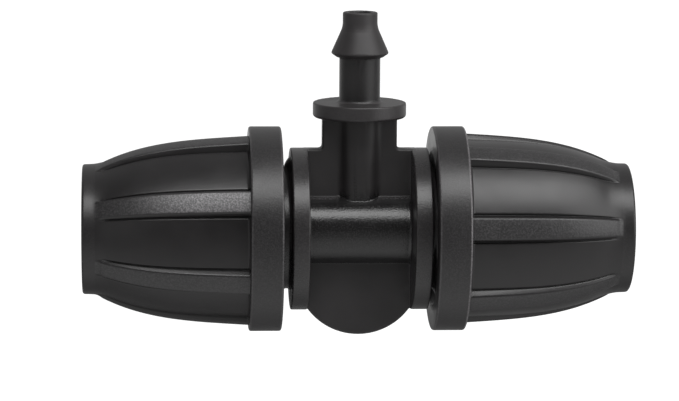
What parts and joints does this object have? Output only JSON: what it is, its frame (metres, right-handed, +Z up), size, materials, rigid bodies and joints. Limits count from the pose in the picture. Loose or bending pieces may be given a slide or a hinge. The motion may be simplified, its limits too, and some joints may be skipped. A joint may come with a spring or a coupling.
{
  "type": "reducing barbed tee fitting",
  "caption": "Irrigation tee: a ribbed lock nut on each end of the hose run clamps 8/11 mm hose, and an upright barb takes a 4/7 mm drip line.",
  "frame": {"origin": "where the axis of the hose run crosses the axis of the branch", "axes": "+X along the hose run to the right, +Y away from the front, +Z up along the branch"},
  "size_m": [0.0616, 0.023, 0.0366],
  "materials": {
    "body_plastic": "moulded black polypropylene, satin",
    "nut_plastic": "moulded black polypropylene, satin, lightly eroded grip ribs"
  },
  "bodies": {
    "tee": {"tee_body": "body_plastic"},
    "left_mouth": {"left_nut_mouth_ring": "nut_plastic"},
    "left_grip": {"left_nut_ribbed_shell": "nut_plastic"},
    "right_mouth": {"right_nut_mouth_ring": "nut_plastic"},
    "right_grip": {"right_nut_ribbed_shell": "nut_plastic"}
  },
  "joints": [
    {"name": "right_nut_travel", "type": "slide", "parent": "tee", "child": "right_mouth", "axis": [1, 0, 0], "range_m": [-0.00045, 0.005]},
    {"name": "right_nut_turn", "type": "hinge", "parent": "right_mouth", "child": "right_grip", "pos_m": [0.02, 0, 0], "axis": [1, 0, 0], "range_deg": [-40.5, 450]},
    {"name": "left_nut_travel", "type": "slide", "parent": "tee", "child": "left_mouth", "axis": [-1, 0, 0], "range_m": [-0.001, 0.00445]},
    {"name": "left_nut_turn", "type": "hinge", "parent": "left_mouth", "child": "left_grip", "pos_m": [-0.02, 0, 0], "axis": [-1, 0, 0], "range_deg": [-90, 400.5]}
  ],
  "couplings": [
    {"joint": "right_nut_travel", "follows": "right_nut_turn", "m_per_rad": 0.00063662},
    {"joint": "left_nut_travel", "follows": "left_nut_turn", "m_per_rad": 0.00063662}
  ]
}
